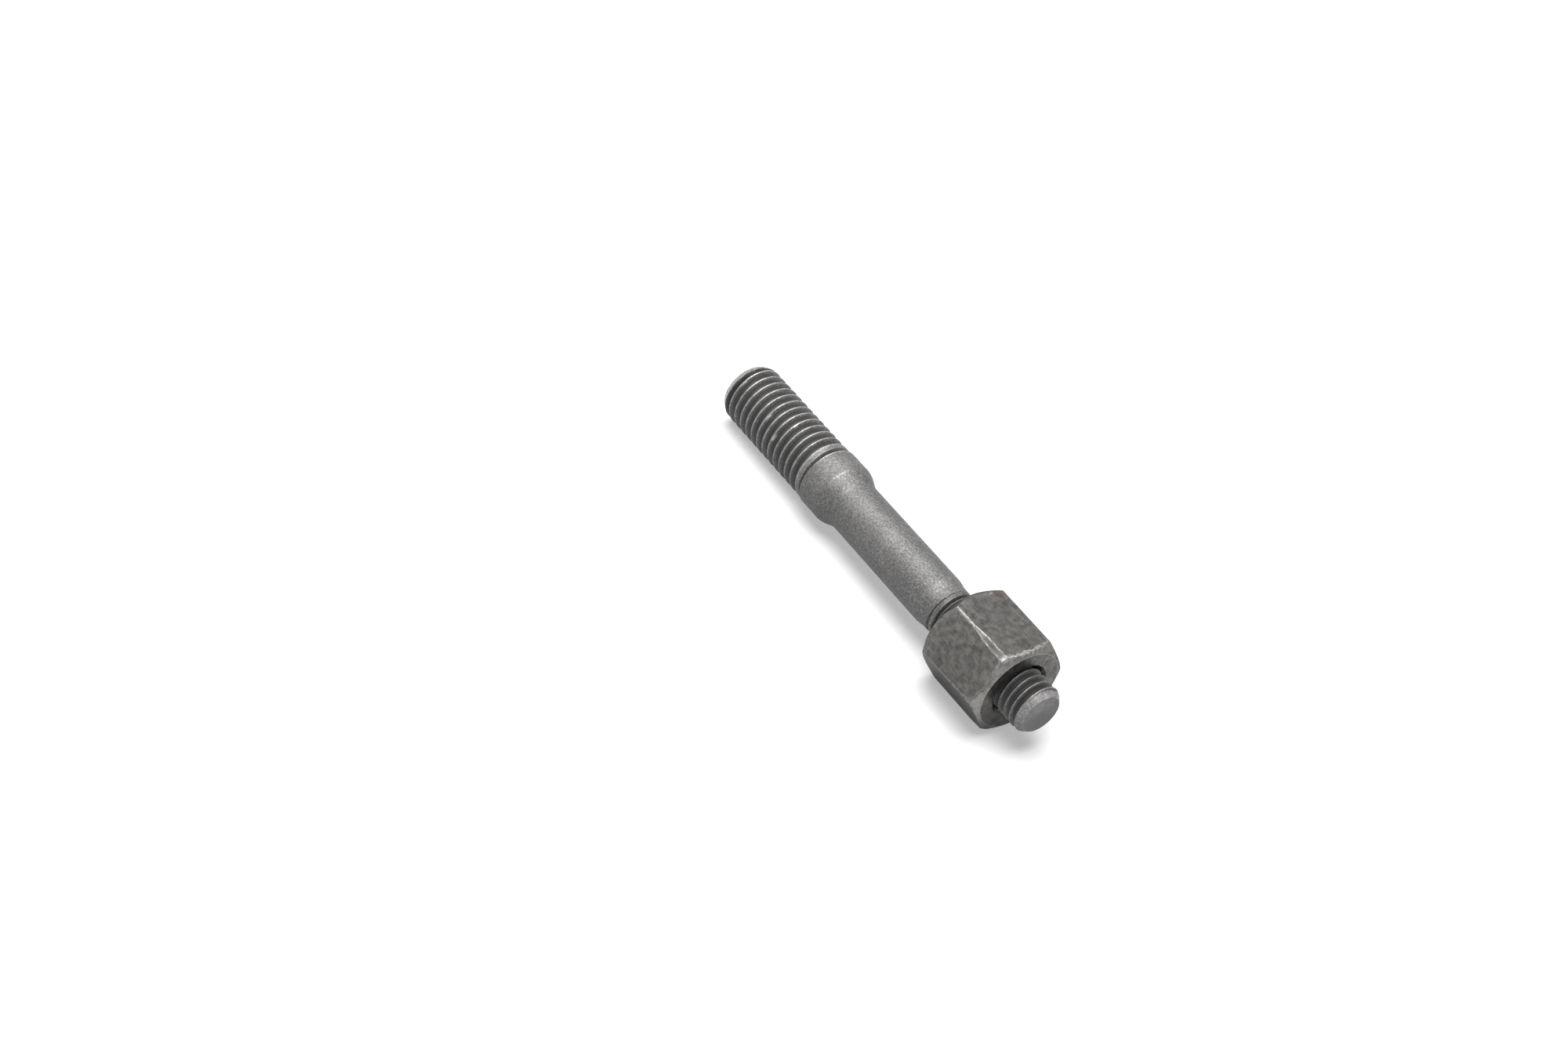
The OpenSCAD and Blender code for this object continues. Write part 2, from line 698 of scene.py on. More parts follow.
@dataclass(frozen=True)
class PhosphateFinish:
    """Matte grey phosphate on the stud: a sandy grain, dark roots and crests worn to bare steel."""

    coat: Colour = (0.145, 0.143, 0.142)
    pale_grain: Colour = (0.250, 0.246, 0.243)
    spark: Colour = (0.420, 0.412, 0.405)
    root: Colour = (0.126, 0.125, 0.124)
    sawn: Colour = (0.200, 0.198, 0.200)
    # Colour of stains and of the painted shade.
    stain: Colour = (0.050, 0.048, 0.048)
    bare: Colour = (0.500, 0.484, 0.478)
    grain_mm: float = 0.26
    grain_detail: float = 3.0
    wear_mm: float = 0.9
    spark_mm: float = 0.17
    spark_detail: float = 1.0
    turning: Factors = (1.0, 0.5, 0.5)
    cloud_mm: float = 3.5
    cloud_share: float = 0.25
    speckled: Band = Band(0.48, 0.80)
    sparkling: Band = Band(0.60, 0.74, 0.0, 0.75)
    in_root: Band = Band(0.10, 0.80)
    on_crest: Band = Band(0.015, 0.15, 1.0, 0.0)
    worn_by_grain: Band = Band(0.30, 0.60, 0.45, 1.0)
    worn_in_places: Band = Band(0.35, 0.60, 0.55, 1.0)
    metal: float = 0.95
    sawn_metal: float = 0.30
    coat_roughness: float = 0.62
    bare_roughness: float = 0.50
    sawn_roughness: float = 0.85
    coat_relief: float = 0.35
    sawn_relief: float = 0.10
    grain_depth_mm: float = 0.06

    def material(self) -> bpy.types.Material:
        """Draw the finish.

        Returns:
            The material of the stud.
        """
        pen = NodePen(bpy.data.materials.new(Slot.STUD.value))
        where = pen.place()
        grain = pen.noise(where, self.grain_mm, self.grain_detail)
        tone = pen.mark(Mark.TONE)
        depth = pen.mark(Mark.DEPTH)
        worn = self._wear(pen, where, grain, depth)
        coat = pen.blend(tone, self._speckling(pen, where, grain), self.sawn)
        coat = pen.blend(pen.ramp(depth, self.in_root), coat, self.root)
        # Darkened by the stain mark: real stains and a pit, with painted shade on the underside, the fine
        # thread and beside the nut.
        coat = pen.blend(pen.mark(Mark.STAIN), coat, self.stain)
        roughness = pen.between(worn, self.coat_roughness, self.bare_roughness)
        relief = pen.between(tone, self.coat_relief, self.sawn_relief)
        shader = pen.add(
            "ShaderNodeBsdfPrincipled",
            {
                "Base Color": pen.blend(worn, coat, self.bare),
                "Metallic": pen.between(tone, self.metal, self.sawn_metal),
                "Roughness": pen.math("MAXIMUM", roughness, pen.between(tone, 0.0, self.sawn_roughness)),
                "Normal": pen.bump(grain, relief, self.grain_depth_mm),
            },
        )
        return pen.finish(shader.outputs[0])

    def _speckling(self, pen: NodePen, where: Socket, grain: Socket) -> Socket:
        """Draw the sandy coat with its paler grains and sparks.

        Args:
            pen: Pen of this material.
            where: Place on the piece.
            grain: Fine noise.

        Returns:
            The colour of the coat.
        """
        cloud = pen.math("MULTIPLY", pen.noise(where, self.cloud_mm), self.cloud_share)
        speckle = pen.ramp(pen.math("ADD", grain, cloud), self.speckled)
        coat = pen.blend(speckle, self.coat, self.pale_grain)
        spark = pen.noise(pen.drawn_out(where, self.turning), self.spark_mm, self.spark_detail)
        return pen.blend(pen.ramp(spark, self.sparkling), coat, self.spark)

    def _wear(self, pen: NodePen, where: Socket, grain: Socket, depth: Socket) -> Socket:
        """Draw the bare crests, lips and scratches, with the painted highlights that the same marks carry.

        Args:
            pen: Pen of this material.
            where: Place on the piece.
            grain: Fine noise.
            depth: Depth in a thread, from 0 on a crest to 1 in a root.

        Returns:
            How bare each place is, from 0 to 1.
        """
        crest = pen.math("MULTIPLY", pen.mark(Mark.WEAR), pen.ramp(depth, self.on_crest))
        bare = pen.math("MAXIMUM", crest, pen.mark(Mark.BARE))
        worn = pen.math("MULTIPLY", bare, pen.ramp(grain, self.worn_by_grain))
        return pen.math("MULTIPLY", worn, pen.ramp(pen.noise(where, self.wear_mm), self.worn_in_places))


@dataclass(frozen=True)
class OxideFinish:
    """Dark oiled oxide on the nut: olive and plum mottling, bare edges and a touch of rust."""

    dark: Colour = (0.096, 0.094, 0.089)
    pale: Colour = (0.220, 0.216, 0.205)
    olive: Colour = (0.156, 0.155, 0.136)
    plum: Colour = (0.147, 0.136, 0.136)
    # Colour of stains and of the painted shade.
    stain: Colour = (0.060, 0.054, 0.056)
    turned: Colour = (0.262, 0.252, 0.245)
    bare: Colour = (0.500, 0.482, 0.472)
    rust: Colour = (0.130, 0.058, 0.038)
    detail: float = 3.0
    grain_mm: float = 0.26
    mottle_mm: float = 0.9
    blotch_mm: float = 3.2
    scratch_mm: float = 0.22
    wander_mm: float = 0.8
    drawing: Factors = (0.12, 1.0, 1.0)
    grain_shift: Band = Band(0.30, 0.70, -0.07, 0.07)
    scratch_shift: Band = Band(0.30, 0.70, -0.06, 0.06)
    mottled: Band = Band(0.22, 0.78)
    olive_spread: Band = Band(0.50, 0.66, 0.0, 0.40)
    plum_spread: Band = Band(0.34, 0.48, 0.40, 0.0)
    turned_spread: Band = Band(0.30, 0.62, 0.35, 0.95)
    rust_by_grain: Band = Band(0.35, 0.60, 0.4, 1.0)
    worn_by_grain: Band = Band(0.30, 0.60, 0.35, 1.0)
    ragged_corner: Band = Band(0.2, 0.8, -0.09, 0.09)
    ragged_border: Band = Band(0.2, 0.8, -0.50, 0.50)
    corner_line: tuple[float, float] = (0.02, 0.11)
    border_line: tuple[float, float] = (0.14, 0.75)
    border_inset: float = 0.45
    off_chamfer: Band = Band(-0.10, 0.10)
    dull_edge: Colour = (0.42, 0.42, 0.42)
    metal: float = 0.92
    rust_metal: float = 0.1
    coat_roughness: float = 0.36
    worn_roughness: float = 0.42
    grain_relief: float = 0.30
    grain_depth_mm: float = 0.03

    def material(self) -> bpy.types.Material:
        """Draw the finish.

        Returns:
            The material of the nut.
        """
        pen = NodePen(bpy.data.materials.new(Slot.NUT.value))
        where = pen.place()
        grain = pen.noise(where, self.grain_mm, self.detail)
        worn = self._wear(pen, where, grain)
        colour = pen.blend(worn, self._mottling(pen, where, grain), self.bare)
        rust = pen.math("MULTIPLY", pen.mark(Mark.RUST), pen.ramp(grain, self.rust_by_grain))
        shader = pen.add(
            "ShaderNodeBsdfPrincipled",
            {
                "Base Color": pen.blend(rust, colour, self.rust),
                "Metallic": pen.between(rust, self.metal, self.rust_metal),
                "Specular Tint": (*self.dull_edge, 1.0),
                "Roughness": pen.between(worn, self.coat_roughness, self.worn_roughness),
                "Normal": pen.bump(grain, self.grain_relief, self.grain_depth_mm),
            },
        )
        return pen.finish(shader.outputs[0])

    def _mottling(self, pen: NodePen, where: Socket, grain: Socket) -> Socket:
        """Draw the uneven oxide with its painted shade, and the paler turned chamfer, painted palest on one
        side as a painted highlight.

        Args:
            pen: Pen of this material.
            where: Place on the piece.
            grain: Fine noise.

        Returns:
            The colour before wear.
        """
        mottle = pen.noise(where, self.mottle_mm, self.detail)
        blotch = pen.noise(where, self.blotch_mm)
        scratch = pen.noise(pen.drawn_out(where, self.drawing), self.scratch_mm)
        fine = pen.math("ADD", mottle, pen.ramp(grain, self.grain_shift))
        fine = pen.math("ADD", fine, pen.ramp(scratch, self.scratch_shift))
        coat = pen.blend(pen.ramp(fine, self.mottled), self.dark, self.pale)
        coat = pen.blend(pen.ramp(blotch, self.olive_spread), coat, self.olive)
        coat = pen.blend(pen.ramp(blotch, self.plum_spread), coat, self.plum)
        # Darkened by the stain mark: real stains, with painted shade towards the lower flats.
        coat = pen.blend(pen.mark(Mark.STAIN), coat, self.stain)
        turned = pen.math("MULTIPLY", pen.mark(Mark.TONE), pen.ramp(fine, self.turned_spread))
        return pen.blend(turned, coat, self.turned)

    def _wear(self, pen: NodePen, where: Socket, grain: Socket) -> Socket:
        """Draw the bare lines along the corners and the chamfers' borders.

        Args:
            pen: Pen of this material.
            where: Place on the piece.
            grain: Fine noise.

        Returns:
            How bare each place is, from 0 to 1.
        """
        wander = pen.noise(where, self.wander_mm, self.detail)
        rim = pen.mark(Mark.RIM)
        corner = pen.line(pen.mark(Mark.EDGE), pen.ramp(wander, self.ragged_corner), *self.corner_line)
        corner = pen.math("MULTIPLY", corner, pen.ramp(rim, self.off_chamfer))
        inset = pen.math("SUBTRACT", rim, self.border_inset)
        border = pen.line(inset, pen.ramp(wander, self.ragged_border), *self.border_line)
        lines = pen.math("MULTIPLY", pen.math("MAXIMUM", corner, border), pen.mark(Mark.WEAR))
        bare = pen.math("MAXIMUM", lines, pen.mark(Mark.BARE))
        return pen.math("MULTIPLY", bare, pen.ramp(grain, self.worn_by_grain))


@dataclass
class Stud:
    """The double-ended stud, turned and rolled from one bar."""

    axis: StudAxis
    length: float
    head_lead: tuple[tuple[float, float], ...] = ((0.0, 4.0), (0.15, 4.35), (1.3, 4.9))
    collar_station: float = 21.7
    collar_radius: float = 5.05
    cone_station: float = 25.4
    shank_station: float = 28.8
    shank_radius: float = 4.1
    taper_station: float = 49.3
    nut_thread_station: float = 50.8
    nut_chamfer: float = 1.0
    nut_end_radius: float = 3.1
    columns: int = 128
    edge_blend: float = 0.06
    lip_width: float = 0.24
    head_start: tuple[float, float] = (0.95, 1.40)
    nut_start: tuple[float, float] = (0.70, 1.05)
    dents: tuple[Dent, ...] = (
        Dent(6, 46.0),
        Dent(8, 64.0),
        Dent(1, 37.0, reach=0.35, spread=0.18),
        Dent(9, 21.0, reach=0.30, spread=0.18),
    )
    scratches_and_sheen: tuple[Patch, ...] = (
        Patch(25.85, 21.0, 0.11, 1.5, 0.7),
        Patch(23.9, 30.0, 0.10, 0.4, 0.5),
        # Painted highlight: a pale haze on the collar that widens the lamp's highlight there.
        Patch(23.6, 30.0, 2.2, 3.6, 0.17),
        # Painted highlight: a long pale band along the shank's upper side that widens the lamp's highlight.
        Patch(38.0, 38.0, 12.0, 2.2, 0.13),
    )
    # A pit at the collar, a painted shade where the nut's inner end shades the fine thread, and a dark spot
    # on the stub.
    pits_and_shade: tuple[Patch, ...] = (
        Patch(23.8, 24.5, 0.18, 0.22, 0.95),
        # Painted shade: the fine thread beside the nut's inner end.
        Patch(54.3, 40.0, 0.9, 7.0, 0.9),
        Patch(72.8, 88.0, 0.6, 2.2, 0.35),
    )

    SHARP_DEG = 42.0
    HEAD_JOIN = 21.25
    NUT_JOIN = 51.1
    PLAIN_ROWS = (12, 2, 3, 24, 32, 24, 24)
    CAP_RINGS = (0.0, 0.35, 0.7, 0.9, 0.97, 1.0)
    FACE_DEPTH = 0.001
    RIM_WIDTH = 0.02
    # Crest wear strongest on the upper side: partly real wear, partly a painted highlight on the upper crests
    # and painted shade on the lower ones.
    HEAD_WEAR_AND_SHEEN = OneSided(0.08, 0.92, 12.0, 2.5)
    LAST_CREST_FADE = (0.05, 0.40)
    LAST_CREST_WEAR = 0.2
    STUB_WEAR = OneSided(0.0, 0.46, 15.0, 1.5)
    STUB_WEAR_FADE = (-4.5, -1.0)
    LEAST_STUB_WEAR = 0.04
    LEAD_BARE = 0.95
    LEAD_FADE = (0.90, 1.10)
    # Bare lead-in of the stub, strongest on the upper side: real wear, with a painted highlight above and
    # painted shade below.
    STUB_LEAD_WEAR_AND_SHEEN = OneSided(0.02, 0.86, 5.0, 5.0)
    LIP_BARE = 0.9
    LIP_START = -0.03
    LIP_SHARE = 0.7
    LIP_DEG = -8.0
    LIP_FADE = (0.60, 0.85)
    # Painted shade over the fine thread: a base share, and a further share by depth into its roots.
    FINE_THREAD_SHADE = (0.32, 0.40)
    # Painted shade: the coat is darkened towards the stud's lower side, standing for the shade and darker
    # floor under it.
    PAINTED_UNDERSIDE_SHADE = OneSided(0.0, 0.48, 112.0, 4.0)

    @classmethod
    def from_frame(cls, axis: StudAxis, frame: dict[str, Any]) -> Stud:
        """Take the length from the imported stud."""
        return cls(axis, axis.span(frame["nodes"][Body.STUD.value])[1])

    def envelope(self, stations: Array) -> Array:
        """Give the radius of the bar before its threads are rolled.

        Args:
            stations: Millimetres along the axis.

        Returns:
            Millimetres from the axis.
        """
        corners = [
            *self.head_lead,
            (HEAD_RUN_OUT.wall, HEAD_THREAD.crest_radius),
            (self.collar_station, self.collar_radius),
            (self.cone_station, self.collar_radius),
            (self.shank_station, self.shank_radius),
            (self.taper_station, self.shank_radius),
            (self.nut_thread_station, NUT_THREAD.crest_radius),
            (self.length - self.nut_chamfer, NUT_THREAD.crest_radius),
            (self.length, self.nut_end_radius),
        ]
        places, radii = zip(*corners)
        plain = np.interp(stations, places, radii)
        share = smooth_step(stations, self.cone_station, self.shank_station)
        cone = self.collar_radius + (self.shank_radius - self.collar_radius) * share
        in_cone = (stations > self.cone_station) & (stations < self.shank_station)
        return np.where(in_cone, cone, plain)

    def dented(self, stations: Array, angles: Array) -> Array:
        """Give how far each point belongs to a dent, from 0 to 1."""
        shares = [dent.share(stations, angles) for dent in self.dents]
        return np.max(np.stack(np.broadcast_arrays(*shares)), axis=0)

    def head_depth(self, stations: Array, angles: Array) -> Array:
        """Give the depth of the coarse thread below its crests, with its start, run-out and dents.

        Args:
            stations: Millimetres along the axis.
            angles: Radians about the axis.

        Returns:
            Millimetres below the crest radius.
        """
        drop = HEAD_RUN_OUT.drop(stations, angles)
        for dent in self.dents:
            share = dent.share(stations, angles)
            drop = drop * (1.0 - share) + dent.flatten * share
        return drop * smooth_step(stations, *self.head_start)

    def nut_depth(self, stations: Array, angles: Array) -> Array:
        """Give the depth of the finer thread below its crests, with its start and run-out."""
        return NUT_RUN_OUT.drop(stations, angles) * smooth_step(self.length - stations, *self.nut_start)

    def radius(self, stations: Array, angles: Array) -> Array:
        """Give the radius of the finished stud.

        Args:
            stations: Millimetres along the axis.
            angles: Radians about the axis.

        Returns:
            Millimetres from the axis.
        """
        bar = self.envelope(stations)
        head = HEAD_THREAD.crest_radius - self.head_depth(stations, angles)
        fine = NUT_THREAD.crest_radius - self.nut_depth(stations, angles)
        threaded = np.where(stations <= HEAD_RUN_OUT.wall, smooth_min(bar, head, self.edge_blend), bar)
        return np.where(stations >= self.NUT_JOIN, smooth_min(bar, fine, self.edge_blend), threaded)

    def build(self) -> bpy.types.Object:
        """Build the stud's mesh and mark its worn crests and dark roots.

        Returns:
            The stud as one object.
        """
        skin = Skin(np.arange(self.columns) / self.columns * FULL_TURN)
        self._add_cap(skin, 0.0, True)
        self._add_thread(skin, HEAD_THREAD, 0.0, self.HEAD_JOIN)
        self._add_plain(skin)
        self._add_thread(skin, NUT_THREAD, self.NUT_JOIN, self.length)
        self._add_cap(skin, self.length, False)
        piece = skin.build("stud_bar", self.axis, self.SHARP_DEG)
        self._mark(piece)
        return piece

    def _add_cap(self, skin: Skin, station: float, outwards: bool) -> None:
        """Close one end with rings that follow the rim.

        Args:
            skin: Skin that the cap is added to.
            station: Station of the end face.
            outwards: True where the rings run from the axis to the rim.
        """
        shares = np.array(self.CAP_RINGS if outwards else self.CAP_RINGS[::-1])
        rim = self.radius(np.full(self.columns, station), skin.angles)
        radii = shares[:, None] * rim[None, :]
        skin.add(np.full(radii.shape, station), radii)

    def _add_thread(self, skin: Skin, thread: Thread, low: float, high: float) -> None:
        """Add a threaded stretch whose rows follow the helix."""
        stations = thread.stations(low, high, skin.angles)
        skin.add(stations, self.radius(stations, skin.angles[None, :]), thread.rows_per_pitch)

    def _add_plain(self, skin: Skin) -> None:
        """Add the collar, cone, shank and taper between the two threads."""
        collar_lip = self.collar_station + self.lip_width
        taper_lip = self.taper_station - self.lip_width
        ends = (
            self.HEAD_JOIN,
            HEAD_RUN_OUT.wall,
            self.collar_station,
            collar_lip,
            self.cone_station,
            self.shank_station,
            taper_lip,
            self.NUT_JOIN,
        )
        stretches = zip(ends, ends[1:], self.PLAIN_ROWS)
        parts = [np.linspace(low, high, rows, endpoint=False) for low, high, rows in stretches]
        stations = np.concatenate([*parts, [self.NUT_JOIN]])
        grid = stations[:, None] * np.ones((1, self.columns))
        skin.add(grid, self.radius(grid, skin.angles[None, :]))

    def _mark(self, piece: bpy.types.Object) -> None:
        """Mark how deep in a thread, how worn, how stained and how darkened by painted shade each point is.

        Args:
            piece: The stud's object.
        """
        stations, angles, radii = self.axis.measure(points_of(piece))
        head = np.where(stations < HEAD_RUN_OUT.wall, self.head_depth(stations, angles), 0.0)
        fine = np.where(stations > self.NUT_JOIN, self.nut_depth(stations, angles), 0.0)
        depth = head / HEAD_THREAD.depth + fine / NUT_THREAD.depth
        rim = np.where(stations < 0.5 * self.length, self.head_lead[0][1], self.nut_end_radius)
        on_face = np.minimum(stations, self.length - stations) < self.FACE_DEPTH
        sawn = on_face & (radii < rim - self.RIM_WIDTH)
        set_mark(piece, Mark.DEPTH, depth)
        set_mark(piece, Mark.TONE, np.where(sawn, 1.0, 0.0))
        set_mark(piece, Mark.WEAR, self._crest_wear(stations, angles))
        set_mark(piece, Mark.BARE, np.where(sawn, 0.0, self._bare(stations, angles, radii)))
        on_fine = (stations > NUT_RUN_OUT.wall) & (self.length - stations > self.nut_start[0])
        # Painted shade on the fine thread, deeper towards its roots.
        fine_thread_shade = np.where(on_fine, self.FINE_THREAD_SHADE[0] + self.FINE_THREAD_SHADE[1] * depth, 0.0)
        # A pit and a dark spot, with the painted shade beside the nut.
        pits_and_shade = patched(self.pits_and_shade, stations, angles, radii)
        # The stain mark is real stains and a pit together with painted shade: the darkened underside, the
        # fine thread and the patch beside the nut.
        stain = np.maximum(np.maximum(fine_thread_shade, self.PAINTED_UNDERSIDE_SHADE.at(angles)), pits_and_shade)
        set_mark(piece, Mark.STAIN, np.where(on_face, 0.0, stain))

    def _crest_wear(self, stations: Array, angles: Array) -> Array:
        """Give how worn the crests are: most on the upper side of the coarse thread, which also paints a
        highlight there and shade below, and at the stub's end.

        Args:
            stations: Millimetres along the axis.
            angles: Radians about the axis.

        Returns:
            Shares from 0 to 1.
        """
        on_last = smooth_step(HEAD_RUN_OUT.beyond(stations, angles), *self.LAST_CREST_FADE)
        head = self.HEAD_WEAR_AND_SHEEN.at(angles) * (1.0 - (1.0 - self.LAST_CREST_WEAR) * on_last)
        near_end = smooth_step(stations - self.length, *self.STUB_WEAR_FADE)
        fine = self.LEAST_STUB_WEAR + near_end * self.STUB_WEAR.at(angles)
        on_head = stations < HEAD_RUN_OUT.wall
        on_nut = stations > NUT_RUN_OUT.wall
        return np.where(on_head, head, np.where(on_nut, fine, 0.0))

    def _bare(self, stations: Array, angles: Array, radii: Array) -> Array:
        """Give the places that are bare by themselves: dents, lead-ins, the collar's lip, scratches, and
        painted highlight bands on the collar and shank.

        Args:
            stations: Millimetres along the axis.
            angles: Radians about the axis.
            radii: Millimetres from the axis.

        Returns:
            Shares from 0 to 1.
        """
        dents = np.where(stations < HEAD_RUN_OUT.wall, self.dented(stations, angles), 0.0)
        lead = self.LEAD_BARE * (1.0 - smooth_step(stations, *self.LEAD_FADE))
        on_stub_lead = self.length - stations < self.nut_start[0]
        # The stub's lead-in, painted brighter on its upper side.
        stub_lead = np.where(on_stub_lead, self.STUB_LEAD_WEAR_AND_SHEEN.at(angles), 0.0)
        past_lip = stations - self.collar_station
        at_lip = (past_lip > self.LIP_START) & (past_lip < self.LIP_SHARE * self.lip_width)
        upper = smooth_step(np.cos(turn_between(angles, self.LIP_DEG)), *self.LIP_FADE)
        lip = np.where(at_lip, self.LIP_BARE * upper, 0.0)
        # Scratches, with the painted highlight bands on the collar and shank.
        scratches_and_sheen = patched(self.scratches_and_sheen, stations, angles, radii)
        return np.max(np.stack([dents, lead, stub_lead, lip, scratches_and_sheen]), axis=0)

    def dress(self, piece: bpy.types.Object) -> None:
        """Give the stud its finish and its place on the part."""
        piece.data.materials.append(PhosphateFinish().material())
        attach(piece, Body.STUD.value)
        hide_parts(Body.STUD.value)


@dataclass(frozen=True)
class CornerWear:
    """How far one corner of the nut is flattened.

    Attributes:
        thin: Cut at the inner end.
        wide: Cut at the outer end.
        start: Where the flat begins to widen, from the inner face.
        full: Where it has its full width.
        bare: How bare its borders are.
    """

    thin: float
    wide: float
    start: float
    full: float
    bare: float


@dataclass
class Nut:
    """The long hexagon nut, chamfered at both ends, with its thread."""

    axis: StudAxis
    inner_station: float
    length: float
    apothem: float = 7.0
    ring_radius: float = 6.5
    chamfer_slope: float = math.tan(math.radians(60.0))
    inner_ring_radius: float = 6.65
    inner_slope: float = math.tan(math.radians(47.0))
    chamfer_zone: float = 1.5
    sink_radius: float = 4.5
    clearance: float = 0.06
    bore_depth: float = 0.66
    lead_in: tuple[float, float] = (1.40, 1.75)
    side_columns: int = 36
    edge_blend: float = 0.15
    corners: tuple[CornerWear, ...] = (
        CornerWear(0.08, 0.27, 4.6, 9.0, 0.66),
        CornerWear(0.04, 0.16, 6.0, 12.5, 0.24),
        CornerWear(0.06, 0.42, 9.5, 12.6, 0.3),
        CornerWear(0.12, 0.05, 3.0, 9.0, 0.7),
        CornerWear(0.05, 0.14, 5.0, 11.0, 0.7),
        CornerWear(0.04, 0.07, 4.0, 9.0, 0.35),
    )
    bare_patches: tuple[Patch, ...] = (
        Patch(12.0, 30.0, 0.32, 0.40, 1.0),
        Patch(12.3, 22.0, 0.25, 1.0, 0.8),
        Patch(2.4, 30.0, 1.8, 0.30, 0.45),
        Patch(0.45, 45.0, 0.14, 0.18, 0.9),
        Patch(1.2, -16.0, 0.18, 0.30, 0.8),
    )
    stain_patches: tuple[Patch, ...] = (
        Patch(4.6, 70.0, 0.26, 0.30, 0.9),
        Patch(4.2, 82.0, 0.34, 0.34, 0.7),
        Patch(6.4, 77.0, 0.24, 0.22, 0.5),
        Patch(10.7, -5.0, 1.0, 0.8, 0.55),
        Patch(9.4, 62.0, 0.30, 0.26, 0.6),
        Patch(8.2, 45.0, 0.9, 0.7, 0.35),
        Patch(9.4, 30.0, 2.6, 0.30, 0.80),
    )
    rust_patches: tuple[Patch, ...] = (
        Patch(1.75, -25.0, 0.75, 0.8, 0.75),
        Patch(0.45, -12.0, 0.24, 1.8, 0.6),
        Patch(12.7, 62.0, 0.2, 1.6, 0.3),
    )

    SHARP_DEG = 24.0
    SIDES = 6
    SECTOR = FULL_TURN / SIDES
    CORNER_CROWDING = 0.65
    CHAMFER_ROWS = 22
    FLAT_ROWS = 44
    FACE_RINGS = (0.0, 0.05, 0.35, 0.65, 0.95, 1.0)
    FACE_DEPTH = 0.01
    OFF_THE_OUTSIDE = -1.0
    # Paler turned outer chamfer, strongest at 70 degrees: the turned steel is real, its one-sided strength a
    # painted highlight.
    TURNED_AND_SIDE_LIGHT = OneSided(0.25, 0.75, 70.0, 3.0)
    TURNED_FADE = (0.0, 0.12)
    BORDER_WIDTH = 1.3
    OUTER_BORDER = OneSided(0.15, 0.68, 6.0, 9.0)
    INNER_BORDER = 0.12
    LIP_WIDTH = 0.05
    LIP_BARE = OneSided(0.25, 0.35, 20.0)
    # Painted shade: the coat is darkened towards the nut's lower flats and the lower part of its end faces.
    PAINTED_UNDERSIDE_SHADE = OneSided(0.0, 0.40, 135.0, 4.0)

    @classmethod
    def from_frame(cls, axis: StudAxis, frame: dict[str, Any]) -> Nut:
        """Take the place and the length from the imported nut."""
        low, high = axis.span(frame["nodes"][Body.NUT.value])
        return cls(axis, low, high - low)

    def columns(self) -> Array:
        """Lay the column angles, closer together at the six corners."""
        corners = (np.arange(self.SIDES)[:, None] + 0.5) * self.SECTOR
        turns = 0.5 * self.SECTOR * crowd(self.side_columns, self.CORNER_CROWDING)
        return np.sort((corners + turns[None, :]).ravel() % FULL_TURN)

    def corner_turn(self, angles: Array) -> Array:
        """Give the angle from each point to the nearest corner."""
        turned = angles / self.SECTOR - 0.5
        return np.abs(turned - np.round(turned)) * self.SECTOR

    def corner_trait(self, angles: Array, name: str) -> Array:
        """Look one value up for the corner nearest to each point."""
        values = np.array([getattr(corner, name) for corner in self.corners])
        return values[np.round(angles / self.SECTOR - 0.5).astype(int) % self.SIDES]

    def corner_cut(self, along: Array, angles: Array) -> Array:
        """Give how far the nearest corner is worn down."""
        traits = ("thin", "wide", "start", "full")
        thin, wide, start, full = (self.corner_trait(angles, name) for name in traits)
        return thin + (wide - thin) * smooth_step(along, start, full)

    def hexagon(self, along: Array, angles: Array) -> Array:
        """Give the radius of the six flats with their worn corners.

        Args:
            along: Millimetres from the inner face.
            angles: Radians about the axis.

        Returns:
            Millimetres from the axis.
        """
        turn = self.corner_turn(angles)
        flats = self.apothem / np.cos(0.5 * self.SECTOR - turn)
        tip = self.apothem / math.cos(0.5 * self.SECTOR) - self.corner_cut(along, angles)
        return np.minimum(flats, tip / np.cos(turn))

    def cone(self, along: Array) -> Array:
        """Give the radius of the chamfer cones at the two ends.

        Args:
            along: Millimetres from the inner face.

        Returns:
            Millimetres from the axis.
        """
        inner = self.inner_ring_radius + along * self.inner_slope
        outer = self.ring_radius + (self.length - along) * self.chamfer_slope
        return np.minimum(inner, outer)

    def outside(self, along: Array, angles: Array) -> Array:
        """Give the radius of the nut's outside.

        Args:
            along: Millimetres from the inner face.
            angles: Radians about the axis.

        Returns:
            Millimetres from the axis.
        """
        return smooth_min(self.hexagon(along, angles), self.cone(along), self.edge_blend)

    def bore(self, along: Array, angles: Array) -> Array:
        """Give the radius of the threaded hole with its countersinks and its plain lead-in.

        Args:
            along: Millimetres from the inner face.
            angles: Radians about the axis.

        Returns:
            Millimetres from the axis.
        """
        drop = NUT_THREAD.drop(along + self.inner_station, angles)
        height = np.minimum(drop, self.bore_depth) * smooth_step(along, *self.lead_in)
        thread = NUT_THREAD.crest_radius + 2.0 * self.clearance - height
        from_end = np.minimum(along, self.length - along)
        return smooth_max(thread, self.sink_radius - from_end, self.edge_blend)

